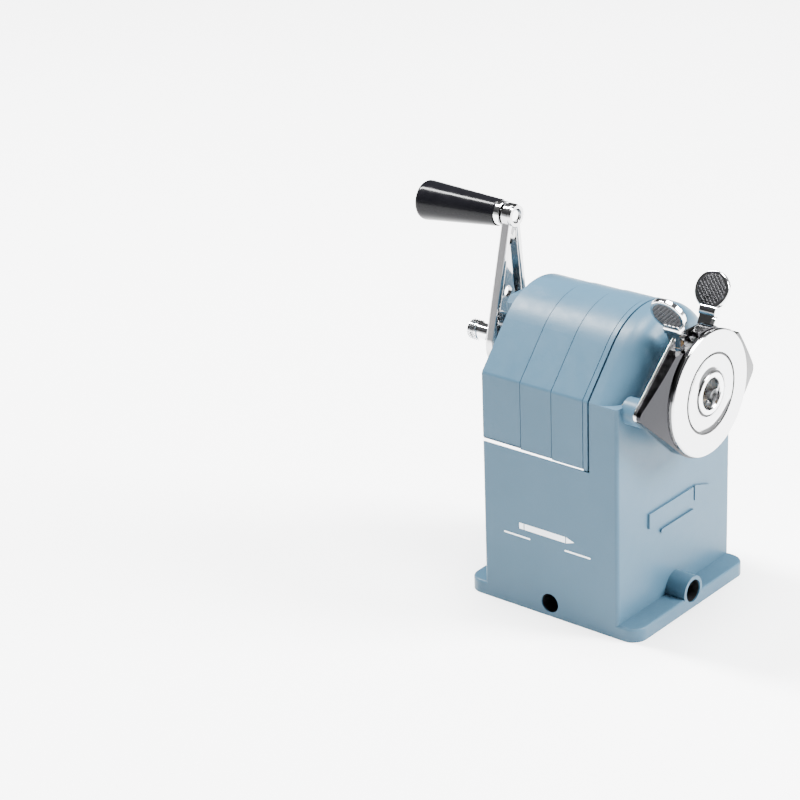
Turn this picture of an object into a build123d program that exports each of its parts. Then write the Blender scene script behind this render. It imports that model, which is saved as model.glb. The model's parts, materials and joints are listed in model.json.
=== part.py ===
"""Hand-cranked desk pencil sharpener: cast case, lift-off cover, spring carriage and crank.

Millimetres, +Z up. The origin is the centre of the base's underside. -Y is the front, where the
pencil goes in, and +Y is the rear, where the crank is. Each piece is one node in parts/.
"""

from build123d import *
import math
import os

# ---- case --------------------------------------------------------------------------------
BODY_W, BODY_L = 67.0, 56.0  # side to side, front face to rear face
FLANGE, FLANGE_T, FLANGE_R = 7.75, 5.0, 5.5  # base flange: reach, thickness, corner radius
LEDGE_Z = 58.5  # where the cover sits on the lower case
AXIS_Z = 81.5  # height of the pencil axis
ARCH_R, SLANT = 26.5, math.radians(48.0)  # arched top about the axis, and its sloping sides
WALL, FRONT_WALL, REAR_WALL = 3.0, 4.0, 3.5
COLUMN_L = 11.3  # front column, front to back
BROW_R = 8.5  # big rounding round the front of the arch
EDGE_R = 1.25
# ---- pencil mechanism --------------------------------------------------------------------
PENCIL_R = 5.6  # way through the carrier, for pencils up to 10 mm
CUTTER_R, CUTTER_BORE, AXLE_R = 6.3, 1.56, 1.5
GEAR_AT, GEAR_OFF, TILT = 9.0, 12.0, math.radians(9.6)  # pinion centre and the cutter's tilt
PINION_N, RING_N = 12, 36
SHAFT_R, STOP_R = 4.0, 1.3
# ---- carriage ----------------------------------------------------------------------------
DISC_R, SHIELD_R, SHIELD_ROLL = 22.0, 22.5, 4.5  # the shield hangs a little clockwise, in degrees
LOBE_X, LOBE_UP, LOBE_R, SHOULDER_X, SHOULDER_UP, SHOULDER_R = 32.2, -0.3, 2.6, 12.7, 19.4, 2.5
BACK_LOBE, SHELL_LOBE = 31.0, 28.8  # the right lobe of the back plate and of the shell
ROD_X, ROD_R, GUIDE_BOSS_R = 26.5, 2.0, 4.6
HOLE_R, NOSE_R, GROOVE_R = 5.3, 7.3, 13.7
BACK_AT, BACK_T, SHELL_T, DISC_T = -6.8, 1.4, 4.2, 1.6  # behind the front face, going forward
LEVER_X, LEVER_UP, LEVER_HUB_R = 6.2, 15.0, 3.2  # pivots of the two finger levers
LEVER_SWING = math.radians(18.0)
PAD_X, PAD_UP, PAD_AT, PAD_R, PAD_T, PAD_LEAN = 13.0, 30.5, -5.7, 6.5, 2.0, 26.0
BLADE_FRONT, BLADE_BACK = -9.0, -3.5  # the flat stems of the finger levers
JAW_GRIP_R, JAW_TRAVEL, PIN_CLOSED_R, CAM_RATIO = 3.3, 1.8, 6.9, 0.63
# ---- crank -------------------------------------------------------------------------------
CRANK_R, CRANK_LEAN, HUB_R, TOP_R = 44.5, math.radians(4.0), 10.8, 4.1
BEARING_R, BEARING_END = 9.0, 64.5
WEB_AT, WEB_T, CHANNEL_D = 70.2, 1.5, 2.0
GRIP_DROOP, GRIP_START, GRIP_L = math.radians(3.0), 2.6, 33.4  # the handle leans in towards its free end
KNOB_R, KNOB_AT, KNOB_END = 3.35, 81.2, 85.6
# ---- cover -------------------------------------------------------------------------------
COVER_IN = 2.4  # inset of the cover's inside from the case's outline
COVER_AT, COVER_BACK = 12.1, 54.2
COVER_BANDS = (  # front, back, inset and gap over the ledge of each stepped band
    (12.1, 13.8, 0.10, 0.45),
    (13.8, 26.8, 0.30, 0.65),
    (26.8, 39.8, 0.55, 1.00),
    (39.8, 56.0, 0.80, 1.35),
)
SCORE_T, SCORE_W = 0.35, 0.4  # depth and width of the line at each step
LUG_W, LUG_LOW, LUG_TOP, LUG_END = 16.0, 11.6, 19.5, 64.3

FRONT_Y = -BODY_L / 2
RUN_FIT = 0.05  # radial clearance of a running fit


def at(depth):
    """The Y of a place this far behind the case's front face."""
    return FRONT_Y + depth


def prism(sketch, front, back):
    """A sketch drawn in X and Z, made solid between two depths behind the front face."""
    plane = Plane(origin=(0, at(front), 0), x_dir=(1, 0, 0), z_dir=(0, -1, 0))
    return extrude(plane * sketch, amount=-(back - front))


def round_y(radius, front, back, x=0.0, up=0.0):
    """A round bar along Y; up is measured from the pencil axis."""
    place = Pos(x, at((front + back) / 2), AXIS_Z + up)
    return place * Rot(90, 0, 0) * Cylinder(radius, back - front)


def ring_y(outer, inner, front, back, x=0.0, up=0.0):
    return round_y(outer, front, back, x, up) - round_y(inner, front - 1, back + 1, x, up)


def block(x0, x1, front, back, z0, z1):
    size = Box(x1 - x0, back - front, z1 - z0)
    return Pos((x0 + x1) / 2, at((front + back) / 2), (z0 + z1) / 2) * size


def arch(inset, bottom, corner=0.0):
    """The case's outline, set in all round by inset, from bottom up."""
    half, radius = BODY_W / 2 - inset, ARCH_R - inset
    side, top = radius * math.sin(SLANT), AXIS_Z + radius * math.cos(SLANT)
    shoulder = top - (half - side) * math.tan(SLANT)
    right = [(side, top), (half, shoulder), (half, bottom)]
    lines = Polyline(*right, *((-x, z) for x, z in reversed(right)))
    face = make_face(lines + ThreePointArc((-side, top), (0, AXIS_Z + radius), (side, top)))
    if corner:
        ends = [v for v in face.vertices() if abs(v.Y - shoulder) < 0.01]
        face = fillet(ends, corner)
    return face


def brow(inset):
    """The outline above the shoulders only: sloping sides and arch."""
    base = AXIS_Z + ARCH_R * math.cos(SLANT) - (BODY_W / 2 - ARCH_R * math.sin(SLANT)) * math.tan(SLANT)
    radius = ARCH_R - inset
    side, top = radius * math.sin(SLANT), AXIS_Z + radius * math.cos(SLANT)
    half = side + (top - base) / math.tan(SLANT)
    lines = Polyline((side, top), (half, base), (-half, base), (-side, top))
    return make_face(lines + ThreePointArc((-side, top), (0, AXIS_Z + radius), (side, top)))


def toothed(count, root, tip, root_half, tip_half):
    """A closed outline of trapezoid teeth; the half widths are in degrees."""
    points = []
    for i in range(count):
        for radius, turn in ((root, -root_half), (tip, -tip_half), (tip, tip_half), (root, root_half)):
            angle = math.radians(i * 360 / count + turn)
            points.append((radius * math.cos(angle), radius * math.sin(angle)))
    return make_face(Polyline(*points, close=True))


def hull(*circles):
    """The convex outline round circles given as x, y, radius."""
    return make_hull([edge for x, y, r in circles for edge in (Pos(x, y) * Circle(r)).edges()])


# ---- fixed pieces ------------------------------------------------------------------------
CLAMP_Z, CLAMP_R, CLAMP_BORE, CLAMP_END = 6.4, 5.4, 4.1, 30.0
SIDE_HOLE_R, SIDE_HOLE_Z, SIDE_HOLE_AT = 3.5, 5.0, 28.3
PAD_DEPTH, PAD_INSET = 0.8, 4.5
HALF, INNER, FOOT_TOP = BODY_W / 2, BODY_W / 2 - WALL, 12.8
EMBOSS = 0.75  # how far the emblem stands out
REAR_AT, REAR_BACK = 50.0, BODY_L - REAR_WALL  # the upper rear wall, inside the cover


def front_emblem():
    """A raised pencil with a bar under it, on the front face."""
    body = Pos(-2, 37) * Rectangle(28, 5.4)
    tip = make_face(Polyline((12, 34.3), (12, 39.7), (20, 37), close=True))
    bar = Pos(1, 30.5) * SlotOverall(20, 1.6)
    gap = Pos(10.6, 37) * Rectangle(0.9, 6)
    return prism(body + tip + bar, -EMBOSS, 0.5) - prism(gap, -EMBOSS - 0.1, -0.05)


def case_base():
    """The flange and the solid foot of the case, with the clamp's socket and its cross hole."""
    base = extrude(RectangleRounded(BODY_W, BODY_L + 2 * FLANGE, FLANGE_R), FLANGE_T)
    base = fillet(base.edges().group_by(Axis.Z)[-1], 0.8)
    foot = block(-HALF, HALF, 0, BODY_L, 0, FOOT_TOP)
    base += fillet(foot.edges().filter_by(Axis.Z), EDGE_R)
    low = CLAMP_Z - AXIS_Z
    base += round_y(CLAMP_R, -FLANGE, FRONT_WALL, up=low)
    base -= round_y(CLAMP_BORE, -FLANGE - 1, CLAMP_END, up=low)
    base -= Pos(-HALF / 2 - 1, at(SIDE_HOLE_AT), SIDE_HOLE_Z) * Rot(0, 90, 0) * Cylinder(SIDE_HOLE_R, HALF)
    return base - extrude(pad_outline(), PAD_DEPTH)


def front_wall():
    wall = block(-HALF, HALF, 0, FRONT_WALL, FOOT_TOP, LEDGE_Z)
    return fillet(wall.edges().filter_by(Axis.Z).group_by(Axis.Y)[0], EDGE_R) + front_emblem()


def side_wall(side):
    wall = block(*sorted((side * INNER, side * HALF)), FRONT_WALL, BODY_L, FOOT_TOP, LEDGE_Z)
    corner = wall.edges().filter_by(Axis.Z).group_by(Axis.Y)[-1].sort_by(Axis.X)[-1 if side > 0 else 0]
    return fillet(corner, EDGE_R)


def rear_wall():
    return block(-INNER, INNER, BODY_L - REAR_WALL, BODY_L, FOOT_TOP, LEDGE_Z)


def rear_bulkhead():
    """The upper rear wall, inside the cover, which carries the bearing."""
    wall = prism(arch(WALL, LEDGE_Z - 8), REAR_AT, REAR_BACK) - round_y(BEARING_R, REAR_AT - 1, REAR_BACK + 1)
    for x, up in bearing_screw_places():
        wall -= round_y(1.1, REAR_AT + 0.5, REAR_BACK + 1, x, up)
    return wall


def case_head():
    """The front column above the ledge, with its rounded brow and the bosses of the guide rods."""
    shoulder = AXIS_Z + ARCH_R * math.cos(SLANT) - (HALF - ARCH_R * math.sin(SLANT)) * math.tan(SLANT)
    column = block(-HALF, HALF, 0, COLUMN_L, LEDGE_Z, shoulder)
    column = fillet(column.edges().filter_by(Axis.Z).group_by(Axis.Y)[0], EDGE_R)
    sections = []
    for i in range(7):
        turn = math.radians(15 * i)
        depth, inset = BROW_R * (1 - math.cos(turn)), BROW_R * (1 - math.sin(turn))
        plane = Plane(origin=(0, at(depth), 0), x_dir=(1, 0, 0), z_dir=(0, -1, 0))
        sections.append(plane * brow(inset))
    head = column + loft(sections) + prism(brow(0), BROW_R, COLUMN_L)
    head -= prism(arch(WALL, LEDGE_Z - 1), FRONT_WALL, COLUMN_L + 1)
    for x in (-ROD_X, ROD_X):
        head += round_y(GUIDE_BOSS_R, BACK_AT + 0.5, 0.5, x)
        head -= round_y(ROD_R + 1.2, BACK_AT, FRONT_WALL + 1, x)
    return head - round_y(11.0, -1, FRONT_WALL + 1)


def pad_outline():
    return RectangleRounded(BODY_W - 2 * PAD_INSET, BODY_L + 2 * (FLANGE - PAD_INSET), 3)


def base_pad():
    return extrude(pad_outline(), PAD_DEPTH)


def rim_strip():
    """A bare metal strip on the ledge, under the cover's skirts, round three sides."""
    half, inner = HALF - 0.35, HALF - COVER_IN
    strip = None
    for front, back, _, gap in COVER_BANDS[1:]:
        top = LEDGE_Z + gap - RUN_FIT
        run = block(-half, -inner, front, min(back, BODY_L - 0.35), LEDGE_Z, top)
        run += block(inner, half, front, min(back, BODY_L - 0.35), LEDGE_Z, top)
        strip = run if strip is None else strip + run
    return strip + block(-half, half, REAR_BACK + 1.5, BODY_L - 0.35, LEDGE_Z, LEDGE_Z + 1.3)


def front_bush():
    return ring_y(11.0, 9.0 + RUN_FIT, 0, FRONT_WALL)


def guide_bushes():
    inner, outer = ROD_R + RUN_FIT, ROD_R + 1.2
    ends = [ring_y(outer, inner, BACK_AT + 0.5, FRONT_WALL, x) for x in (-ROD_X, ROD_X)]
    return Compound(children=ends)


def ring_gear():
    rim = round_y(22.3, FRONT_WALL, COLUMN_L) - round_y(19.3, FRONT_WALL - 1, 6.8)
    gaps = toothed(RING_N, 17.3, 19.3, 3.84, 2.2)
    rim -= prism(Pos(0, AXIS_Z) * Rot(0, 0, 90) * gaps, 6.7, COLUMN_L + 1)
    for x, up in ring_screw_places():
        rim -= round_y(0.9, FRONT_WALL - 1, COLUMN_L + 1, x, up)
    return rim


def ring_screw_places():
    turns = [math.radians(120 * i + 30) for i in range(3)]
    return [(20.8 * math.cos(t), 20.8 * math.sin(t)) for t in turns]


def ring_screws():
    bolts = []
    for x, up in ring_screw_places():
        head = round_y(1.4, COLUMN_L, COLUMN_L + 0.9, x, up)
        bolts.append(round_y(0.9, FRONT_WALL, COLUMN_L, x, up) + head)
    return Compound(children=bolts)


def bearing_housing():
    body = round_y(BEARING_R, REAR_AT, BEARING_END)
    body = fillet(body.edges().group_by(Axis.Y)[-1], 0.8)
    body += round_y(15.0, REAR_BACK, REAR_BACK + 1.1)
    body -= round_y(5.5, REAR_AT - 1, BEARING_END + 1)
    notch_z = AXIS_Z + BEARING_R
    body -= block(-2.3, 2.3, 59.4, 62.6, notch_z - 1.6, notch_z + 1)
    for x, up in bearing_screw_places():
        body -= round_y(1.1, REAR_BACK - 1, REAR_BACK + 2, x, up)
    return body


def bearing_screw_places():
    turns = [math.radians(120 * i + 90) for i in range(3)]
    return [(12.0 * math.cos(t), 12.0 * math.sin(t)) for t in turns]


def bearing_screws():
    """Screws that end flush in the wall; their holes in the casting are cut to match."""
    ends = (REAR_AT + 0.5, REAR_BACK + 1.1)
    return Compound(children=[round_y(1.1, *ends, x, up) for x, up in bearing_screw_places()])


def rear_bush():
    return ring_y(5.5, SHAFT_R + RUN_FIT, REAR_AT, BEARING_END)


# ---- cover and its catch -------------------------------------------------------------------
CATCH_W, CATCH_FRONT, CATCH_BACK = 9.0, 58.2, 63.4


def cover():
    shell = None
    for front, back, inset, gap in COVER_BANDS:
        band = prism(arch(inset, LEDGE_Z + gap, 1.6), front, back)
        shell = band if shell is None else shell + band
        if front > COVER_AT:
            shell -= prism(arch(0, LEDGE_Z) - arch(inset + SCORE_T, LEDGE_Z - 1), front, front + SCORE_W)
    shell -= prism(arch(COVER_IN, LEDGE_Z - 1), COVER_AT - 1, COVER_BACK)
    slot = BEARING_R + 0.6
    shell -= round_y(slot, COVER_BACK - 1, BODY_L + 1)
    shell -= block(-slot, slot, COVER_BACK - 1, BODY_L + 1, LEDGE_Z - 2, AXIS_Z)
    half = LUG_W / 2
    lug = block(-half, half, BODY_L - 0.5, LUG_END, AXIS_Z + LUG_LOW, AXIS_Z + LUG_TOP)
    lug = chamfer(lug.edges().filter_by(Axis.Y).group_by(Axis.Z)[-1], 2.2)
    lug = chamfer(lug.edges().group_by(Axis.Y)[-1], 0.7)
    low = AXIS_Z + LUG_LOW
    room = CATCH_W / 2 + 0.2
    lug -= block(-room, room, CATCH_FRONT - 0.2, CATCH_BACK + 0.2, low - 1, low + 4.6)
    lug -= block(-half - 1, half + 1, CATCH_FRONT + 0.8, CATCH_BACK - 0.8, low - 1, low + 3.4)
    return shell + lug


def cover_catch():
    """A sliding plate with two ears, whose tongue drops in a notch of the bearing housing."""
    low = AXIS_Z + LUG_LOW
    plate = block(-CATCH_W / 2, CATCH_W / 2, CATCH_FRONT, CATCH_BACK, low - 1.0, low + 1.2)
    ears = block(-10.5, 10.5, CATCH_FRONT + 1.0, CATCH_BACK - 1.0, low - 1.0, low + 1.2)
    ears = fillet(ears.edges().filter_by(Axis.Y), 0.6)
    tongue = block(-2, 2, 59.8, 62.2, AXIS_Z + BEARING_R - 1.2, low)
    return plate + ears + tongue


def coil(mean_r, wire_r, length, turns):
    """A closed coil along +Z from the origin."""
    path = Helix(pitch=(length - 2 * wire_r) / turns, height=length - 2 * wire_r, radius=mean_r)
    start = Plane(origin=path @ 0, z_dir=path % 0)
    return Pos(0, 0, wire_r) * sweep(start * Circle(wire_r), path=path, is_frenet=True)


def catch_spring():
    return Pos(0, at((CATCH_FRONT + CATCH_BACK) / 2), AXIS_Z + LUG_LOW + 1.3) * coil(1.4, 0.25, 3.0, 3)


# ---- crank, carrier and cutter -------------------------------------------------------------
CARRIER_DISC, CARRIER_BACK = (4.4, 6.0), (41.0, 45.0)
HUB_BACK = 49.0
NUT_BACK = WEB_AT + WEB_T + 3.6


def cutter_frame():
    """The plane whose +Z runs along the cutter's axle, from the pinion's centre to the rear."""
    along = (0, math.cos(TILT), -math.sin(TILT))
    return Plane(origin=(0, at(GEAR_AT), AXIS_Z + GEAR_OFF), x_dir=(1, 0, 0), z_dir=along)


def carrier():
    body = round_y(9.0, 0.4, CARRIER_DISC[0]) + round_y(16.0, *CARRIER_DISC)
    cradle = Circle(9.4) + Pos(0, -9) * Rectangle(13, 8)
    cradle -= Circle(PENCIL_R)
    cradle -= Pos(0, 20) * Rectangle(60, 41.5)
    body += prism(Pos(0, AXIS_Z) * cradle, CARRIER_DISC[1], CARRIER_BACK[0])
    body += round_y(13.0, *CARRIER_BACK) + round_y(7.0, CARRIER_BACK[1], HUB_BACK)
    body -= round_y(PENCIL_R, 0, CARRIER_BACK[0] - 2)
    body -= round_y(SHAFT_R, CARRIER_BACK[0] + 1, HUB_BACK + 1)
    body -= round_y(STOP_R + 0.4, CARRIER_BACK[0] - 3, CARRIER_BACK[0] + 2)
    return body - cutter_frame() * Pos(0, 0, 14.5) * Cylinder(AXLE_R, 39.0)


def cutter_axle():
    rod = cutter_frame() * Pos(0, 0, 14.5) * Cylinder(AXLE_R, 39.0)
    return rod - round_y(30, -10, CARRIER_DISC[0]) - round_y(30, CARRIER_BACK[1] - 0.5, 70)


def helical_cutter():
    """A milling cutter with helical teeth and the pinion that drives it, in one piece."""
    start, length, steps = 2.6, 27.4, 8
    sections = []
    for i in range(steps + 1):
        blades = toothed(14, 5.3, CUTTER_R, 9.0, 2.2)
        sections.append(Pos(0, 0, start + length * i / steps) * Rot(0, 0, 8.0 * i) * blades)
    mill = loft(sections, ruled=True)
    collar = Pos(0, 0, (start + 1.7) / 2) * Cylinder(4.4, start - 1.7 + 0.2)
    pinion = extrude(Pos(0, 0, -1.7) * toothed(PINION_N, 4.9, 6.8, 9.9, 2.9), 3.4)
    bored = mill + collar + pinion - Pos(0, 0, 14) * Cylinder(CUTTER_BORE, 40)
    return cutter_frame() * bored


def crank_shaft():
    shaft = round_y(SHAFT_R, CARRIER_BACK[0] + 1, NUT_BACK)
    return shaft - round_y(STOP_R + 0.4, CARRIER_BACK[0], NUT_BACK + 1)


def thrust_washer():
    return ring_y(7.0, SHAFT_R, HUB_BACK, HUB_BACK + 0.7)


def crank_place(reach):
    """A place on the crank arm, this far from the pencil axis, as x and height above the axis."""
    return reach * math.sin(CRANK_LEAN), reach * math.cos(CRANK_LEAN)


def crank_arm():
    """A pressed channel with rolled edges, open towards the case, and an eye at its top."""
    back, front = WEB_AT + WEB_T, WEB_AT - CHANNEL_D
    eye = crank_place(CRANK_R)
    outline = hull((0, 0, HUB_R), (*eye, 2.8)) + Pos(*eye) * Circle(TOP_R)
    hollow = hull((0, 0, HUB_R - 2.2), (*crank_place(CRANK_R - 5), 1.3))
    arm = prism(Pos(0, AXIS_Z) * outline, front, back) - prism(Pos(0, AXIS_Z) * hollow, front - 1, WEB_AT)
    arm = fillet(arm.edges().group_by(Axis.Y)[-1], 1.0)
    arm = fillet(arm.edges().group_by(Axis.Y)[0], 0.7)
    arm += ring_y(TOP_R - 0.3, EYE_R, front - 0.9, WEB_AT, *eye)
    arm -= round_y(EYE_R, front - 2, back + 1, *eye)
    for reach in (17.0, CRANK_R - 8.8):
        arm -= round_y(2.0, front - 1, back + 1, *crank_place(reach))
    return arm - round_y(SHAFT_R, front - 1, back + 1)


def crank_hub():
    return ring_y(HUB_R - 2.5, SHAFT_R, BEARING_END + 0.5, WEB_AT)


def crank_nut():
    body = prism(Pos(0, AXIS_Z) * RegularPolygon(5.8, 6), WEB_AT + WEB_T, NUT_BACK)
    return body - round_y(SHAFT_R, WEB_AT, NUT_BACK + 1)


EYE_R, AXLE_END = 2.6, GRIP_START + GRIP_L - 7.0


def grip_frame():
    """The plane whose +Z runs along the handle, from the back of the crank arm to the free end."""
    x, up = crank_place(CRANK_R)
    along = (0, math.cos(GRIP_DROOP), -math.sin(GRIP_DROOP))
    return Plane(origin=(x, at(WEB_AT + WEB_T), AXIS_Z + up), x_dir=(1, 0, 0), z_dir=along)


def bar(radius, start, end):
    """A round bar along +Z."""
    return Pos(0, 0, (start + end) / 2) * Cylinder(radius, end - start)


def handle_axle():
    """A riveted pin: its domed head sits in the eye, and the handle turns on its tail."""
    head = round_y(EYE_R, WEB_AT - CHANNEL_D - 0.2, WEB_AT + WEB_T, *crank_place(CRANK_R))
    head = fillet(head.edges().group_by(Axis.Y)[0], 0.9)
    return head + grip_frame() * bar(AXLE_R + 0.5, 0, AXLE_END - 1)


def ferrule():
    shell = bar(4.3, 0.5, GRIP_START)
    shell = fillet(shell.edges().group_by(Axis.Z)[0], 0.4)
    return grip_frame() * (shell - bar(AXLE_R + 0.5 + RUN_FIT, 0, GRIP_START + 1))


def grip():
    """A tapered handle, thickest near its blunt, rounded free end."""
    end, wide = GRIP_START + GRIP_L, GRIP_START + 0.94 * GRIP_L
    side = Polyline((0, end), (0, GRIP_START), (4.7, GRIP_START), (7.0, wide - 1.0))
    rounding = ((7.0, wide - 1.0), (6.6, wide + 0.9), (5.0, end - 0.25), (0, end))
    tip = Spline(*rounding, tangents=((0.07, 1), (-1, 0)))
    body = revolve(Plane.XZ * make_face(side + tip), Axis.Z)
    body = fillet(body.edges().group_by(Axis.Z)[0], 0.5)
    return grip_frame() * (body - bar(AXLE_R + 0.5 + RUN_FIT, 0, AXLE_END))


def adjuster_knob():
    neck = round_y(3.0, NUT_BACK + 0.4, KNOB_AT)
    head = round_y(KNOB_R, KNOB_AT, KNOB_END)
    head = chamfer(head.edges().group_by(Axis.Y)[-1] + head.edges().group_by(Axis.Y)[0], 0.4)
    return neck + head - round_y(STOP_R + 0.06, NUT_BACK, KNOB_AT + 1)


def stop_pin():
    return round_y(STOP_R, 39.4, KNOB_AT - 3.8)


# ---- carriage ------------------------------------------------------------------------------
SHELL_FRONT = BACK_AT - BACK_T - SHELL_T  # where the disc's back sits
BACK_FRONT = BACK_AT - BACK_T
DISC_FRONT = SHELL_FRONT - DISC_T
LAYER_BACK, LAYER_FRONT = BACK_FRONT - 0.4, BACK_FRONT - 2.0  # levers and cam ring
GUIDE_BACK, GUIDE_FRONT = LAYER_FRONT - 0.3, SHELL_FRONT + 0.1  # jaw guide plate
CAVITY_R, OPEN_X, OPEN_UP = 19.0, 13.5, 18.5
RIGHT_UP = 14.5  # the right shoulder is lower than the left one
BRIDGE_X, BRIDGE_UP = 5.0, 21.0  # the strip that closes the shell's top between the levers
SLOT_IN, SLOT_OUT, SLOT_UP = 4.6, 12.4, 16.4  # gaps in the back plate for the levers' stems
SCREW_PLACES = [(x, up) for x in (-22.5, 22.5) for up in (-5.5, 5.5)]
POLES = [math.radians(120 * i) for i in range(3)]  # jaw directions, from straight up


def shield(right_lobe):
    """The carriage's outline: a round middle, two shoulders and a lobe at each side."""
    shoulders = [(side * SHOULDER_X, SHOULDER_UP, SHOULDER_R) for side in (-1, 1)]
    lobes = [(-LOBE_X, LOBE_UP, LOBE_R), (right_lobe, LOBE_UP, LOBE_R)]
    return Pos(0, AXIS_Z) * Rot(0, 0, -SHIELD_ROLL) * hull((0, 0, SHIELD_R), *shoulders, *lobes)


def carriage_back():
    plate = prism(shield(BACK_LOBE), BACK_FRONT, BACK_AT)
    plate = fillet(plate.edges().group_by(Axis.Y)[-1], 0.4)
    left, right = (-SLOT_OUT, -SLOT_IN, SLOT_UP), (SLOT_IN, SHIELD_R, SLOT_UP)
    for x0, x1, up in (left, right, (OPEN_X, SHIELD_R, RIGHT_UP)):
        plate -= block(x0, x1, BACK_FRONT - 1, BACK_AT + 1, AXIS_Z + up, AXIS_Z + up + 20)
    plate -= round_y(6.0, BACK_FRONT - 1, BACK_AT + 1)
    for x in (-ROD_X, ROD_X):
        plate -= round_y(ROD_R, BACK_FRONT - 1, BACK_AT + 1, x)
    for x, up in SCREW_PLACES:
        plate -= round_y(1.0, BACK_FRONT - 1, BACK_AT + 1, x, up)
    return plate


def carriage_shell():
    """The cast housing: full outline at the back, coned down to the disc in front."""
    outline = prism(shield(SHELL_LOBE), SHELL_FRONT, BACK_FRONT)
    reach = LOBE_X + LOBE_R + 1
    rim = ((reach, 0), (reach, 1.4), (DISC_R - 0.4, SHELL_T))
    low = make_face(Polyline((0, 0), *rim, (0, SHELL_T), close=True))
    cone = Pos(0, at(BACK_FRONT), AXIS_Z) * Rot(90, 0, 0) * revolve(Plane.XZ * low, Axis.Z)
    shell = outline & cone
    shell -= round_y(CAVITY_R, SHELL_FRONT - 1, BACK_FRONT + 1)
    shell -= block(-OPEN_X, OPEN_X, SHELL_FRONT - 1, BACK_FRONT + 1, AXIS_Z, AXIS_Z + OPEN_UP)
    gap = block(-CAVITY_R - 9, CAVITY_R + 9, SHELL_FRONT - 1, BACK_FRONT + 1, AXIS_Z + OPEN_UP, AXIS_Z + 40)
    shell -= block(OPEN_X, SHIELD_R + 2, SHELL_FRONT - 1, BACK_FRONT + 1, AXIS_Z + RIGHT_UP, AXIS_Z + 40)
    shell -= gap - block(-BRIDGE_X, BRIDGE_X, SHELL_FRONT, BACK_FRONT, AXIS_Z + BRIDGE_UP, AXIS_Z + 40)
    for x in (-ROD_X, ROD_X):
        shell -= round_y(ROD_R, BACK_FRONT - 2.0, BACK_FRONT + 1, x)
    for x, up in SCREW_PLACES:
        shell -= round_y(1.0, BACK_FRONT - 2.0, BACK_FRONT + 1, x, up)
    return shell


def carriage_screws():
    return Compound(children=[round_y(1.0, BACK_FRONT - 2.0, BACK_AT, x, up) for x, up in SCREW_PLACES])


def face_disc():
    """The round chrome face: a rounded rim, a groove, a dished middle and a second groove."""
    disc = round_y(DISC_R, DISC_FRONT, SHELL_FRONT)
    disc = fillet(disc.edges().group_by(Axis.Y)[0], 0.75)
    disc -= ring_y(GROOVE_R + 0.45, GROOVE_R - 0.45, DISC_FRONT - 1, DISC_FRONT + 0.8)
    inner, outer = NOSE_R + 0.7, GROOVE_R - 0.4
    arc = ThreePointArc((inner, 0.1), ((inner + outer) / 2, 0.75), (outer, 0))
    dish = make_face(Polyline((outer, 0), (outer, -1), (inner, -1), (inner, 0.1)) + arc)
    disc -= Pos(0, at(DISC_FRONT), AXIS_Z) * Rot(-90, 0, 0) * revolve(Plane.XZ * dish, Axis.Z)
    disc -= round_y(NOSE_R, DISC_FRONT - 1, SHELL_FRONT + 1)
    return disc - ring_y(inner + 0.1, NOSE_R - 0.1, DISC_FRONT - 1, DISC_FRONT + 0.9)


def nose_ring():
    ring = round_y(NOSE_R, DISC_FRONT - 0.4, SHELL_FRONT)
    ring = fillet(ring.edges().group_by(Axis.Y)[0], 0.35)
    ring -= round_y(HOLE_R, DISC_FRONT - 1, SHELL_FRONT + 1)
    return chamfer(ring.edges().filter_by(GeomType.CIRCLE).group_by(Axis.Y)[0].sort_by(SortBy.RADIUS)[0], 0.4)


def guide_rods():
    return Compound(children=[round_y(ROD_R, BACK_FRONT - 2.0, 48.0, x) for x in (-ROD_X, ROD_X)])


def rod_collars():
    return Compound(children=[ring_y(ROD_R + 1.7, ROD_R, 46.5, 48.0, x) for x in (-ROD_X, ROD_X)])


def return_spring(x):
    front, back = FRONT_WALL + 0.1, 46.4
    body = coil(ROD_R + 0.75, 0.35, back - front, 14)
    return Pos(x, at(front), AXIS_Z) * Rot(-90, 0, 0) * body


def polar(turn, radius):
    """A place round the pencil axis; turn is clockwise from straight up, seen from the front."""
    return radius * math.sin(turn), radius * math.cos(turn)


def cam_ring():
    ring = Circle(10.4) - Circle(5.6)
    cam = CAM_RATIO * LEVER_SWING
    for pole in POLES:
        start = Vector(*polar(pole, PIN_CLOSED_R))
        end = Vector(*polar(pole + cam, PIN_CLOSED_R + JAW_TRAVEL))
        middle, run = (start + end) / 2, end - start
        slot = SlotCenterToCenter(run.length, 1.9)
        ring -= Pos(middle.X, middle.Y) * Rot(0, 0, math.degrees(math.atan2(run.Y, run.X))) * slot
    notch = math.degrees(math.atan2(LEVER_X, LEVER_UP))
    ring -= Rot(0, 0, notch) * Pos(0, 10.3) * Rectangle(2.6, 2.8)
    return prism(Pos(0, AXIS_Z) * ring, LAYER_FRONT, LAYER_BACK)


def jaw_guide():
    """A fixed plate whose three slots keep the jaws radial."""
    plate = Circle(CAVITY_R) - Circle(PENCIL_R)
    for pole in POLES:
        plate -= Rot(0, 0, -math.degrees(pole)) * Pos(0, 6.5) * Rectangle(4.2, 13.0)
    return prism(Pos(0, AXIS_Z) * plate, GUIDE_FRONT, GUIDE_BACK)


def jaw(pole):
    right = ((0.9, 0), (2.0, 1.6), (2.0, 7.0))
    nose = make_face(Polyline(*right, *((-x, y) for x, y in reversed(right)), close=True))
    bar = prism(Pos(0, AXIS_Z + JAW_GRIP_R) * nose, GUIDE_FRONT + 0.1, GUIDE_BACK - 0.1)
    pin = round_y(0.7, GUIDE_BACK - 0.1, LAYER_BACK - 0.2, up=PIN_CLOSED_R)
    turn = Location((0, 0, AXIS_Z)) * Rot(0, math.degrees(pole), 0) * Location((0, 0, -AXIS_Z))
    return turn * (bar + pin)


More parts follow.
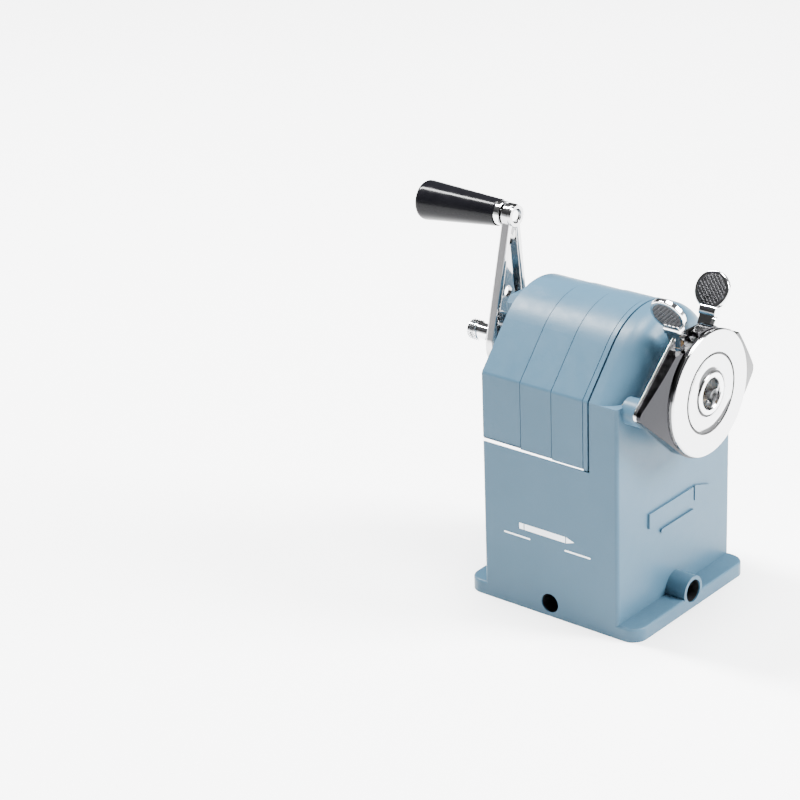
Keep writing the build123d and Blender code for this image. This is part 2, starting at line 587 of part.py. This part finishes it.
def finger_lever(side):
    """One lever: a hub plate on its pivot, a flat stem out of the top, and a round leaning pad."""
    pivot, pad = (side * LEVER_X, LEVER_UP), (side * PAD_X, PAD_UP)
    run = math.hypot(pad[0] - pivot[0], pad[1] - pivot[1])

    def along(reach):
        return tuple(p + (q - p) * reach / run for p, q in zip(pivot, pad))

    plate = hull((*pivot, LEVER_HUB_R), (*along(7.2), 1.3))
    blade = hull((*along(3.3), 1.2), (*along(run - 4.5), 1.0))
    lever = prism(Pos(0, AXIS_Z) * plate, LAYER_FRONT, LAYER_BACK)
    lever += prism(Pos(0, AXIS_Z) * blade, BLADE_FRONT, BLADE_BACK)
    collar = Pos(0, AXIS_Z) * hull((*along(9.6), 1.5), (*along(10.6), 1.5))
    lever += prism(collar, BLADE_FRONT - 0.4, BLADE_BACK + 0.4)
    disc = Pos(pad[0], at(PAD_AT), AXIS_Z + pad[1]) * Rot(0, side * PAD_LEAN - 90, 0) * Cylinder(PAD_R, PAD_T)
    lever += fillet(disc.edges().filter_by(GeomType.CIRCLE), 0.5)
    if side < 0:
        reach = math.hypot(*pivot)
        tip = (pivot[0] * (1 - 6.4 / reach), pivot[1] * (1 - 6.4 / reach))
        lever += prism(Pos(0, AXIS_Z) * hull((*pivot, 1.6), (*tip, 0.7)), LAYER_FRONT, LAYER_BACK)
    return lever - round_y(1.2 + RUN_FIT, LAYER_FRONT - 1, LAYER_BACK + 1, *pivot)


def lever_pins():
    return Compound(children=[round_y(1.2, GUIDE_BACK, BACK_FRONT, s * LEVER_X, LEVER_UP) for s in (-1, 1)])


def lever_spring():
    """A small coil that pushes the two stems apart."""
    length, up = 10.8, LEVER_UP + 4.8
    place = Pos(-length / 2, at((LAYER_FRONT + LAYER_BACK) / 2), AXIS_Z + up)
    return place * Rot(0, 90, 0) * coil(0.75, 0.18, length, 12)


def nodes():
    """Every node's name and shape."""
    made = {"left_wall": side_wall(-1), "right_wall": side_wall(1)}
    made.update({"left_lever": finger_lever(-1), "right_lever": finger_lever(1)})
    made["left_return_spring"] = return_spring(-ROD_X)
    made["right_return_spring"] = return_spring(ROD_X)
    for i, pole in enumerate(POLES):
        made[f"jaw_{i + 1}"] = jaw(pole)
    plain = (
        case_base, front_wall, rear_wall, rear_bulkhead, case_head, base_pad, rim_strip,
        front_bush, guide_bushes, ring_gear, ring_screws, bearing_housing, bearing_screws,
        rear_bush, cover, cover_catch, catch_spring, carrier, cutter_axle,
        helical_cutter, crank_shaft, thrust_washer, crank_arm, crank_hub, crank_nut, handle_axle,
        ferrule, grip, adjuster_knob, stop_pin, carriage_back, carriage_shell, carriage_screws,
        face_disc, nose_ring, guide_rods, rod_collars, cam_ring, jaw_guide, lever_pins, lever_spring,
    )
    for make in plain:
        made[make.__name__] = make()
    return made


os.makedirs("parts", exist_ok=True)
for name, shape in nodes().items():
    export_step(shape, f"parts/{name}.step")
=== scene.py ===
"""Studio picture of a crank pencil sharpener, built round its CAD frame.

It adds the finishes, the fine detail, the light and the camera. Lengths are in metres.
"""

import bpy
import bmesh
import json
import math
from mathutils import Matrix, Vector


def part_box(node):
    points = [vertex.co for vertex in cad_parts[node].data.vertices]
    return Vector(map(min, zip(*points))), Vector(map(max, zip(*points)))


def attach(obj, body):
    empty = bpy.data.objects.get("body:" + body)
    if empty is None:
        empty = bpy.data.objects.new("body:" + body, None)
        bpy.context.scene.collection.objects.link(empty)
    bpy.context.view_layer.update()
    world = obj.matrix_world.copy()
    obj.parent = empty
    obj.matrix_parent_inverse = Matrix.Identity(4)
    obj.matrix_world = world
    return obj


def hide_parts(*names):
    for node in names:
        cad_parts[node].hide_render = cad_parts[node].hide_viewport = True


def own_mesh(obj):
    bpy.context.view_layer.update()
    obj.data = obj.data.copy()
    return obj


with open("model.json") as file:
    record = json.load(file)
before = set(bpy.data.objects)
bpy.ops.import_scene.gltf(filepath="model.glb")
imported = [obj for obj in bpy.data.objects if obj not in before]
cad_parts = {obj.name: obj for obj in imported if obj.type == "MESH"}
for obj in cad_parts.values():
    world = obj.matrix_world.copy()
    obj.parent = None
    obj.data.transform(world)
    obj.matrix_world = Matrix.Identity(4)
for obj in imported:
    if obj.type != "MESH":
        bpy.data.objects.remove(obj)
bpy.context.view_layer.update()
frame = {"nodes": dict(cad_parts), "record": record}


# ---- materials -----------------------------------------------------------------------------
NOISE_MIDDLE = (0.3, 0.7)  # nearly all of a noise lies between these


class Finish:
    """A Principled shader whose colour, roughness and bump vary with noise."""

    def __init__(self, name, color, metallic=0.0, roughness=0.4, **sockets):
        self.material = bpy.data.materials.new(name)
        self.material.use_nodes = True
        self.tree = self.material.node_tree
        self.shader = self.tree.nodes["Principled BSDF"]
        self.color = (*color, 1.0)
        self.shader.inputs["Base Color"].default_value = self.color
        self.shader.inputs["Metallic"].default_value = metallic
        self.shader.inputs["Roughness"].default_value = roughness
        for socket, value in sockets.items():
            self.shader.inputs[socket.replace("_", " ")].default_value = value
        self.coordinates = self.node("ShaderNodeTexCoord")
        self.normal = None

    def node(self, kind, **settings):
        made = self.tree.nodes.new(kind)
        for key, value in settings.items():
            setattr(made, key, value)
        return made

    def link(self, output, socket):
        self.tree.links.new(output, socket)

    def noise(self, size, detail=3.0, stretch=(1, 1, 1)):
        """Noise about size metres across, drawn out along an axis by a smaller stretch there."""
        mapping = self.node("ShaderNodeMapping")
        mapping.inputs["Scale"].default_value = stretch
        self.link(self.coordinates.outputs["Object"], mapping.inputs["Vector"])
        made = self.node("ShaderNodeTexNoise")
        made.inputs["Scale"].default_value = 1.0 / size
        made.inputs["Detail"].default_value = detail
        self.link(mapping.outputs["Vector"], made.inputs["Vector"])
        return made.outputs["Fac"]

    def spread(self, value, low, high):
        """Stretches the middle of a noise to run from low to high."""
        made = self.node("ShaderNodeMapRange")
        sockets = ("From Min", "From Max", "To Min", "To Max")
        for socket, number in zip(sockets, (*NOISE_MIDDLE, low, high)):
            made.inputs[socket].default_value = number
        self.link(value, made.inputs["Value"])
        return made.outputs["Result"]

    def tint(self, value, other):
        """Moves the base colour towards another where value is high."""
        mix = self.node("ShaderNodeMix", data_type="RGBA")
        mix.inputs["A"].default_value = self.color
        mix.inputs["B"].default_value = (*other, 1.0)
        self.link(value, mix.inputs["Factor"])
        self.link(mix.outputs["Result"], self.shader.inputs["Base Color"])
        return self

    def rough(self, value, low, high):
        self.link(self.spread(value, low, high), self.shader.inputs["Roughness"])
        return self

    def bump(self, value, height, strength=1.0):
        made = self.node("ShaderNodeBump")
        made.inputs["Distance"].default_value = height
        made.inputs["Strength"].default_value = strength
        self.link(value, made.inputs["Height"])
        if self.normal:
            self.link(self.normal, made.inputs["Normal"])
        self.normal = made.outputs["Normal"]
        self.link(self.normal, self.shader.inputs["Normal"])
        return self


def paint():
    color, cloudy = (0.034, 0.075, 0.112), (0.043, 0.089, 0.130)
    made = Finish("paint_blue_grey", color, roughness=0.34, Specular_IOR_Level=0.15)
    cloud, grain = made.noise(0.022), made.noise(0.0008, detail=2.0)
    made.tint(made.spread(cloud, 0.0, 0.35), cloudy)
    made.rough(made.noise(0.004), 0.30, 0.40)
    return made.bump(grain, height=0.00005, strength=0.45).material


def chrome(name, color, rough=0.06):
    made = Finish(name, color, metallic=1.0, roughness=rough)
    darker = tuple(0.9 * c for c in color)
    made.tint(made.spread(made.noise(0.012), 0.0, 0.3), darker)
    made.rough(made.noise(0.003, detail=4.0), 0.7 * rough, 1.5 * rough)
    return made.bump(made.noise(0.008, detail=1.0), height=0.00008, strength=0.25).material


def brushed_steel():
    """Steel with fine lines along the depth of the machine."""
    color = (0.60, 0.61, 0.62)
    made = Finish("brushed_steel", color, metallic=1.0, roughness=0.3)
    lines = made.noise(0.0006, stretch=(1, 0.08, 1))
    made.tint(made.spread(lines, 0.0, 0.5), tuple(0.75 * c for c in color))
    made.rough(lines, 0.22, 0.42)
    return made.bump(lines, height=0.00003, strength=0.5).material


def bronze():
    made = Finish("sintered_bronze", (0.55, 0.36, 0.17), metallic=1.0, roughness=0.38)
    pores = made.noise(0.0005, detail=2.0)
    made.tint(made.spread(pores, 0.0, 0.7), (0.30, 0.18, 0.08))
    made.rough(pores, 0.30, 0.55)
    return made.bump(pores, height=0.00005, strength=0.6).material


def cast_metal():
    made = Finish("die_cast_metal", (0.42, 0.42, 0.43), metallic=1.0, roughness=0.45)
    grain = made.noise(0.0011, detail=4.0)
    made.tint(made.spread(grain, 0.0, 0.5), (0.30, 0.30, 0.31))
    made.rough(grain, 0.38, 0.6)
    return made.bump(grain, height=0.00010, strength=0.7).material


def black_plastic():
    color, lighter = (0.003, 0.003, 0.004), (0.005, 0.005, 0.006)
    made = Finish("gloss_black_plastic", color, roughness=0.14, Specular_IOR_Level=0.1)
    made.tint(made.spread(made.noise(0.010), 0.0, 0.6), lighter)
    made.rough(made.noise(0.0025, detail=4.0), 0.10, 0.20)
    return made.bump(made.noise(0.006, detail=1.0), height=0.00006, strength=0.2).material


def rubber():
    made = Finish("rubber", (0.018, 0.018, 0.019), roughness=0.8)
    grain = made.noise(0.0007)
    made.tint(made.spread(grain, 0.0, 0.6), (0.035, 0.035, 0.036))
    made.rough(grain, 0.7, 0.9)
    return made.bump(grain, height=0.00010, strength=0.6).material


# a black finish worn both by the pads' black inserts and by the painted shade in holes, grooves and
# under the knurls
def black_metal_and_painted_shade():
    made = Finish("black_metal_and_painted_shade", (0.012, 0.012, 0.013), metallic=0.6, roughness=0.45)
    made.tint(made.spread(made.noise(0.002), 0.0, 0.6), (0.03, 0.03, 0.031))
    made.rough(made.noise(0.0008), 0.36, 0.55)
    return made.bump(made.noise(0.0006), height=0.00003, strength=0.5).material


def print_ink():
    made = Finish("white_print", (0.80, 0.82, 0.84), roughness=0.45)
    made.tint(made.spread(made.noise(0.0006), 0.0, 0.5), (0.62, 0.67, 0.71))
    return made.bump(made.noise(0.0008), height=0.00002, strength=0.4).material


FINISHES = {
    "paint": paint(),
    "chrome": chrome("chrome", (0.82, 0.825, 0.83)),
    # the three darker chromes below are painted reflection: chrome made dark or grey for parts that
    # mirror dark surroundings
    "chrome_dark_painted_reflection": chrome("chrome_dark_painted_reflection", (0.02, 0.02, 0.022), 0.10),
    "cut_metal": chrome("cut_metal", (0.055, 0.055, 0.058), 0.30),
    "chrome_face_painted_reflection": chrome("chrome_face_painted_reflection", (0.62, 0.622, 0.63), 0.08),
    "chrome_grey_painted_reflection": chrome("chrome_grey_painted_reflection", (0.50, 0.50, 0.505), 0.09),
    "steel": brushed_steel(),
    "cast_metal": cast_metal(),
    "bronze": bronze(),
    "handle": black_plastic(),
    "pad": rubber(),
    "print": print_ink(),
    "black_and_painted_shade": black_metal_and_painted_shade(),
}

PAINTED_REFLECTION_CHROMES = {  # chromed nodes given darker copies of chrome: painted reflection of the dark surroundings they mirror
    "carriage_shell": "chrome_dark_painted_reflection", "face_disc": "chrome_face_painted_reflection",
    "carriage_back": "chrome_grey_painted_reflection", "crank_arm": "chrome_grey_painted_reflection",
}

BEVELS = {  # rounding of the sharp edges of the nodes seen from outside
    "cover": 0.00010, "crank_arm": 0.00012, "crank_hub": 0.00030, "crank_nut": 0.00025,
    "carriage_back": 0.00015, "carriage_shell": 0.00025, "face_disc": 0.00010, "nose_ring": 0.00010,
    "left_lever": 0.00025, "right_lever": 0.00025, "cover_catch": 0.00020, "adjuster_knob": 0.00015,
    "bearing_housing": 0.00015, "rim_strip": 0.00010,
}


def dress_nodes():
    """Gives each CAD node the finish of its material slot, or a darker copy of chrome that paints
    in its reflections.
    """
    slots = {part["node"]: part["material_slot"] for part in frame["record"]["subparts"]}
    slots.update(PAINTED_REFLECTION_CHROMES)
    for name, node in frame["nodes"].items():
        node.data.materials.clear()
        node.data.materials.append(FINISHES[slots[name]])
        if name in BEVELS:
            soften(node, BEVELS[name])


BEVEL_STEPS, SHARP_ANGLE = 2, math.radians(35)


def soften(piece, width):
    """Rounds a piece's sharp edges so that they catch the light."""
    bevel = piece.modifiers.new("soft_edges", "BEVEL")
    bevel.width, bevel.segments = width, BEVEL_STEPS
    bevel.limit_method, bevel.angle_limit = "ANGLE", SHARP_ANGLE


# ---- detail pieces -------------------------------------------------------------------------
AXIS_Z, FRONT_Y = 0.0815, -0.0280  # pencil axis and the front face of the case
SIDE_X = -0.0335  # the left side wall
PAD_X, PAD_Z, PAD_Y = 0.0130, AXIS_Z + 0.0305, FRONT_Y - 0.0057  # centres of the finger pads
PAD_R, PAD_T, PAD_LEAN = 0.0065, 0.0020, math.radians(26.0)
KNOB_R, KNOB_FRONT, KNOB_BACK = 0.00335, FRONT_Y + 0.0812, FRONT_Y + 0.0856
DISC_STEPS, TUBE_STEPS = 64, 96  # flats round an inset disc and round a tube
INSET_CHAMFER = 0.35  # as a share of an inset disc's thickness


def new_piece(name, mesh, finish, body):
    piece = bpy.data.objects.new(name, mesh)
    piece.data.materials.append(FINISHES[finish])
    bpy.context.scene.collection.objects.link(piece)
    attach(piece, body)
    return piece


def piece_from(build, name, finish, body):
    """Turns a bmesh of closed solids into a piece."""
    mesh = bpy.data.meshes.new(name)
    bmesh.ops.recalc_face_normals(build, faces=build.faces)
    build.to_mesh(mesh)
    build.free()
    return new_piece(name, mesh, finish, body)


def pyramids(name, cells, finish, body):
    """Blunt pyramids, each a closed solid, from cells of four base corners and four top corners."""
    build = bmesh.new()
    for base, top in cells:
        low, high = [build.verts.new(v) for v in base], [build.verts.new(v) for v in top]
        build.faces.new(low)
        build.faces.new(high)
        for i in range(4):
            build.faces.new((low[i], low[(i + 1) % 4], high[(i + 1) % 4], high[i]))
    piece_from(build, name, finish, body)


def turned(build, profile, steps, place):
    """Rings of vertices about the place's Z, one for each radius and height of the profile."""
    angles = [2 * math.pi * i / steps for i in range(steps)]
    return [
        [build.verts.new(place @ Vector((r * math.cos(a), r * math.sin(a), z))) for a in angles]
        for r, z in profile
    ]


def skin(build, near, far):
    """Faces between two rings of vertices."""
    for i in range(len(near)):
        after = (i + 1) % len(near)
        build.faces.new((near[i], near[after], far[after], far[i]))


def inset_disc(name, radius, thickness, place, body):
    """A thin, black round plate with a chamfered rim, centred on its place: the pads' black
    inserts, and painted shade under the adjuster's knurls.
    """
    build, edge, half = bmesh.new(), INSET_CHAMFER * thickness, thickness / 2
    flat = radius - edge
    profile = ((flat, -half), (radius, edge - half), (radius, half - edge), (flat, half))
    rings = turned(build, profile, DISC_STEPS, place)
    for near, far in zip(rings, rings[1:]):
        skin(build, near, far)
    build.faces.new(rings[0])
    build.faces.new(rings[-1])
    piece_from(build, name, "black_and_painted_shade", body)


def tube(name, inner, outer, length, place, body):
    """A black ring of rectangular section, from its place along its +Z: painted shade in a groove
    or a hole.
    """
    build = bmesh.new()
    profile = ((inner, 0), (outer, 0), (outer, length), (inner, length))
    rings = turned(build, profile, TUBE_STEPS, place)
    for near, far in zip(rings, rings[1:] + rings[:1]):
        skin(build, near, far)
    piece_from(build, name, "black_and_painted_shade", body)


PAD_RIM = 0.00055  # plain chrome left round each insert
INSERT_PROUD = 0.00006  # how far the insert stands out of the pad, on each face
DIAMOND_PITCH, DIAMOND_FOOT, DIAMOND_TOP = 0.00112, 0.00004, 0.00022  # foot and top off the pad
DIAMOND_WIDE, DIAMOND_NARROW = 0.60, 0.30  # half diagonals at foot and top, as shares of the pitch


def add_pad_faces():
    """Both faces of each finger pad: a black insert, cut across in diamonds."""
    face_r = PAD_R - PAD_RIM
    count = int(face_r / DIAMOND_PITCH) + 1
    for side, body in ((-1, "left_lever"), (1, "right_lever")):
        lean = Matrix.Rotation(side * PAD_LEAN + math.pi / 2, 4, "Y")
        place = Matrix.Translation((side * PAD_X, PAD_Y, PAD_Z)) @ lean
        inset_disc(f"{body}_insert", face_r, PAD_T + 2 * INSERT_PROUD, place, body)
        cells = []
        for face in (-1, 1):
            for i in range(-count, count + 1):
                for j in range(-count, count + 1):
                    u = (i + j) * DIAMOND_PITCH / math.sqrt(2)
                    v = (i - j) * DIAMOND_PITCH / math.sqrt(2)
                    if math.hypot(u, v) + DIAMOND_WIDE * DIAMOND_PITCH < face_r:
                        cells.append(diamond_cell(place, u, v, face))
        pyramids(f"{body}_diamonds", cells, "cut_metal", body)


def diamond_cell(place, u, v, face):
    corners = ((1, 0), (0, 1), (-1, 0), (0, -1))
    foot, head = face * (PAD_T / 2 + DIAMOND_FOOT), face * (PAD_T / 2 + DIAMOND_TOP)
    wide, narrow = DIAMOND_WIDE * DIAMOND_PITCH, DIAMOND_NARROW * DIAMOND_PITCH
    base = [place @ Vector((u + wide * a, v + wide * b, foot)) for a, b in corners]
    top = [place @ Vector((u + narrow * a, v + narrow * b, head)) for a, b in corners]
    return base, top


KNURL_AROUND, KNURL_ROWS, KNURL_MARGIN = 20, 8, 0.0004
KNURL_SPAN = 0.88  # half diagonal of a cell's foot, as a share of its pitch
KNURL_FOOT, KNURL_TOP, KNURL_SHRINK = -0.00003, 0.00030, 0.35  # rise of foot and top, size of top
KNURL_SHADE_PROUD = 0.00004  # how far the black disc of painted shade between the knurls stands out of the knob


def add_knurled_knob():
    """The diamond knurling round the adjuster's head, and a black disc under it: painted shade
    between the knurls.
    """
    start, end = KNOB_FRONT + KNURL_MARGIN, KNOB_BACK - KNURL_MARGIN
    step, half_turn = (end - start) / KNURL_ROWS, math.pi / KNURL_AROUND
    sides = ((KNURL_SPAN, 0), (0, KNURL_SPAN), (-KNURL_SPAN, 0), (0, -KNURL_SPAN))
    cells = []
    for row in range(KNURL_ROWS - 1):
        y = start + (row + 1) * step
        for i in range(KNURL_AROUND):
            turn = 2 * half_turn * (i + 0.5 * (row % 2))
            cells.append([
                [on_knob(turn + a * half_turn * grow, y + b * step * grow, rise) for a, b in sides]
                for grow, rise in ((1.0, KNURL_FOOT), (KNURL_SHRINK, KNURL_TOP))
            ])
    pyramids("adjuster_knurl", cells, "chrome", "adjuster")
    # a black disc under the knurls: painted shade between them
    turn = Matrix.Rotation(math.pi / 2, 4, "X")
    place = Matrix.Translation((0, (start + end) / 2, AXIS_Z)) @ turn
    inset_disc("adjuster_knurl_shade", KNOB_R + KNURL_SHADE_PROUD, end - start, place, "adjuster")


def on_knob(turn, y, rise):
    radius = KNOB_R + rise
    return Vector((radius * math.sin(turn), y, AXIS_Z + radius * math.cos(turn)))


TO_REAR = Matrix.Rotation(-math.pi / 2, 4, "X")  # turns +Z towards the rear, +Y
TO_RIGHT = Matrix.Rotation(math.pi / 2, 4, "Y")  # turns +Z towards the right, +X

# black rings laid in the face disc's two grooves: painted shade where the grooves lie in shadow
FACE_GROOVE_SHADES = (  # name, inner radius, outer radius and depth below the disc's face
    ("outer", 0.0133, 0.0141, 0.00035),
    ("inner", 0.0073, 0.0080, 0.0004),
)
FACE_GROOVE_SHADE_T = 0.0004  # how deep each ring of painted groove shade is


def add_face_groove_shades():
    """Black rings in the two grooves of the face disc: painted shade."""
    face_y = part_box("face_disc")[0][1]
    for name, inner, outer, sunk in FACE_GROOVE_SHADES:
        place = Matrix.Translation((0, face_y + sunk, AXIS_Z)) @ TO_REAR
        tube(f"{name}_face_groove_shade", inner, outer, FACE_GROOVE_SHADE_T, place, "carriage")


SOCKET_Z, SOCKET_R, SOCKET_SHADE_L = 0.0064, 0.0041, 0.0355
CROSS_Y, CROSS_Z, CROSS_R, CROSS_SHADE_L = 0.0003, 0.0050, 0.0035, 0.0280
SHADE_HALF_T, MOUTH = 0.00004, 0.0006  # half the thickness of the dark sheets of painted shade, and the mouth left in the case's paint before they start


def add_hole_shade_sheets():
    """Dark sheets lining the clamp's socket and cross hole: painted shade for the holes' shadowed
    insides.
    """
    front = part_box("case_base")[0][1]
    socket = Matrix.Translation((0, front + MOUTH, SOCKET_Z)) @ TO_REAR
    tube("socket_painted_shade", SOCKET_R - SHADE_HALF_T, SOCKET_R + SHADE_HALF_T, SOCKET_SHADE_L, socket, "case")
    cross = Matrix.Translation((SIDE_X + MOUTH, CROSS_Y, CROSS_Z)) @ TO_RIGHT
    tube("cross_hole_painted_shade", CROSS_R - SHADE_HALF_T, CROSS_R + SHADE_HALF_T, CROSS_SHADE_L, cross, "case")


RETURN_SPRING_END, CATCH_SPRING_END = FRONT_Y + 0.0041, 0.0974  # the ends that stay put
SPRINGS = {  # node: body, joint that shortens it, direction, a point of the fixed end, share kept
    "left_return_spring": ("case", "carriage_pull", (0, 1, 0), (0, RETURN_SPRING_END, 0), 0.287),
    "right_return_spring": ("case", "carriage_pull", (0, 1, 0), (0, RETURN_SPRING_END, 0), 0.287),
    "catch_spring": ("cover", "catch_slide", (0, 0, 1), (0, 0, CATCH_SPRING_END), 0.31),
    "lever_spring": ("carriage", "left_lever_squeeze", (1, 0, 0), (0, 0, 0), 0.62),
}


def add_springs():
    """The coil springs, drawn again as pieces of their own on their bodies, with the CAD springs
    hidden.
    """
    for node, (body, joint, way, fixed_end, share) in SPRINGS.items():
        mesh = frame["nodes"][node].data.copy()
        mesh.transform(frame["nodes"][node].matrix_world)
        mesh.materials.clear()
        coil = new_piece(f"{node}_coil", mesh, "steel", body)
        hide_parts(node)
        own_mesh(coil)


PRINT_T = 0.00005  # how far the print stands out
LINE_Z, LINE_HALF, LINES = 0.0270, 0.0003, ((0.0473, 0.0362), (0.0218, 0.0111))
PENCIL_Z, PENCIL_HALF = 0.0310, 0.0011
RUBBER, BARREL, TIP = (0.0407, 0.0389), (0.0385, 0.0215), (0.0211, 0.0178)  # start and end depths
ROUND_STEPS = 8  # flats in a bar's half-round end


def add_side_print():
    """Two thin printed lines with a small pencil above and between them, low on the left side."""
    outlines = [bar_outline(start, end) for start, end in LINES]
    outlines.append(box_outline(*BARREL))
    low, high = PENCIL_Z - PENCIL_HALF, PENCIL_Z + PENCIL_HALF
    outlines.append([(TIP[0], low), (TIP[1], PENCIL_Z), (TIP[0], high)])
    outlines.append(box_outline(*RUBBER))
    build = bmesh.new()
    for outline in outlines:
        face = build.faces.new(
            [build.verts.new((SIDE_X - PRINT_T, FRONT_Y + d, z)) for d, z in outline]
        )
        grown = bmesh.ops.extrude_face_region(build, geom=[face])["geom"]
        corners = [v for v in grown if isinstance(v, bmesh.types.BMVert)]
        bmesh.ops.translate(build, verts=corners, vec=(2 * PRINT_T, 0, 0))
    piece_from(build, "side_print", "print", "case")


def box_outline(start, end):
    """The outline of a straight part of the printed pencil, as depths and heights."""
    low, high = PENCIL_Z - PENCIL_HALF, PENCIL_Z + PENCIL_HALF
    return [(start, low), (end, low), (end, high), (start, high)]


def bar_outline(start, end):
    """A line with round ends, as depths and heights."""
    points = []
    for centre, turn in ((start - LINE_HALF, 0), (end + LINE_HALF, math.pi)):
        for i in range(ROUND_STEPS + 1):
            angle = math.pi / 2 - math.pi * i / ROUND_STEPS + turn
            points.append(
                (centre + LINE_HALF * math.cos(angle), LINE_Z + LINE_HALF * math.sin(angle))
            )
    return points


# ---- stage ---------------------------------------------------------------------------------
YAW, PITCH, ROLL = 49.94, 23.79, -2.14  # where the camera looks, in degrees
CAMERA_AT = (-0.71444, -0.50910, 0.45688)
LENS, SENSOR = 126.82, 36.0  # in millimetres
CLIP = (0.05, 20.0)  # the nearest and farthest things that it sees


def add_camera():
    yaw, pitch, roll = (math.radians(a) for a in (YAW, PITCH, ROLL))
    level_ahead = Vector((math.sin(yaw), math.cos(yaw), 0))
    ahead = level_ahead * math.cos(pitch) + Vector((0, 0, -math.sin(pitch)))
    right = Vector((math.cos(yaw), -math.sin(yaw), 0))
    up = right.cross(ahead)
    level, tip = math.cos(roll), math.sin(roll)
    across, upward = level * right + tip * up, level * up - tip * right
    data = bpy.data.cameras.new("camera")
    data.lens, data.sensor_width = LENS, SENSOR
    data.clip_start, data.clip_end = CLIP
    camera = bpy.data.objects.new("camera", data)
    turn = Matrix((across, upward, -ahead)).transposed().to_4x4()
    camera.matrix_world = Matrix.Translation(CAMERA_AT) @ turn
    bpy.context.scene.collection.objects.link(camera)
    bpy.context.scene.camera = camera


TARGET = (0.0, 0.01, 0.06)  # the middle of the machine
LIGHTS = (  # name, place, target, size and power in watts
    ("key_softbox", (0.60, -1.10, 0.80), TARGET, (0.5, 0.8), 104.0),
    ("top_softbox", (0.10, -0.05, 1.50), TARGET, (0.6, 0.6), 85.0),
    ("rear_strip", (-0.13, 1.08, 1.55), (0.0, 0.06, 0.12), (0.26, 0.9), 140.0),
)


def add_light(name, place, target, size, power):
    data = bpy.data.lights.new(name, "AREA")
    data.shape, data.size, data.size_y, data.energy = "RECTANGLE", size[0], size[1], power
    light = bpy.data.objects.new(name, data)
    aim = (Vector(target) - Vector(place)).to_track_quat("-Z", "Y").to_matrix().to_4x4()
    light.matrix_world = Matrix.Translation(place) @ aim
    bpy.context.scene.collection.objects.link(light)


FLOOR_SIZE, FLOOR_CELLS = 12, 40
FLOOR_GLOW = 0.3  # lifts the floor to a pale, even white


def add_floor():
    bpy.ops.mesh.primitive_grid_add(
        x_subdivisions=FLOOR_CELLS, y_subdivisions=FLOOR_CELLS, size=FLOOR_SIZE
    )
    floor = bpy.context.object
    floor.name = "studio_floor"
    color, lighter = (0.85, 0.85, 0.85), (0.90, 0.905, 0.91)
    made = Finish("pale_floor", color, roughness=0.8, Emission_Strength=FLOOR_GLOW)
    made.shader.inputs["Emission Color"].default_value = (1, 1, 1, 1)
    made.tint(made.spread(made.noise(0.5), 0.0, 1.0), lighter)
    floor.data.materials.append(made.material)


SKY = ((0.0, 1.1), (0.10, 0.9), (0.28, 0.05), (0.95, 0.22))  # height on the ramp and brightness
SKY_STRENGTH, SKY_BLUE = 0.9, 1.02


def add_sky():
    """Soft surroundings: bright up to just above the horizon, under a dim dome."""
    world = bpy.data.worlds.new("studio_world")
    bpy.context.scene.world = world
    world.use_nodes = True
    tree = world.node_tree
    where = tree.nodes.new("ShaderNodeTexCoord")
    split = tree.nodes.new("ShaderNodeSeparateXYZ")
    ramp = tree.nodes.new("ShaderNodeValToRGB")
    tree.links.new(where.outputs["Generated"], split.inputs[0])
    tree.links.new(split.outputs["Z"], ramp.inputs[0])
    tree.links.new(ramp.outputs["Color"], tree.nodes["Background"].inputs["Color"])
    while len(ramp.color_ramp.elements) < len(SKY):
        ramp.color_ramp.elements.new(0.5)
    for stop, (height, shade) in zip(ramp.color_ramp.elements, SKY):
        stop.position, stop.color = height, (shade, shade, SKY_BLUE * shade, 1)
    tree.nodes["Background"].inputs["Strength"].default_value = SKY_STRENGTH


dress_nodes()
add_pad_faces()
add_knurled_knob()
add_face_groove_shades()
add_hole_shade_sheets()
add_springs()
add_side_print()
add_camera()
add_floor()
for light in LIGHTS:
    add_light(*light)
add_sky()
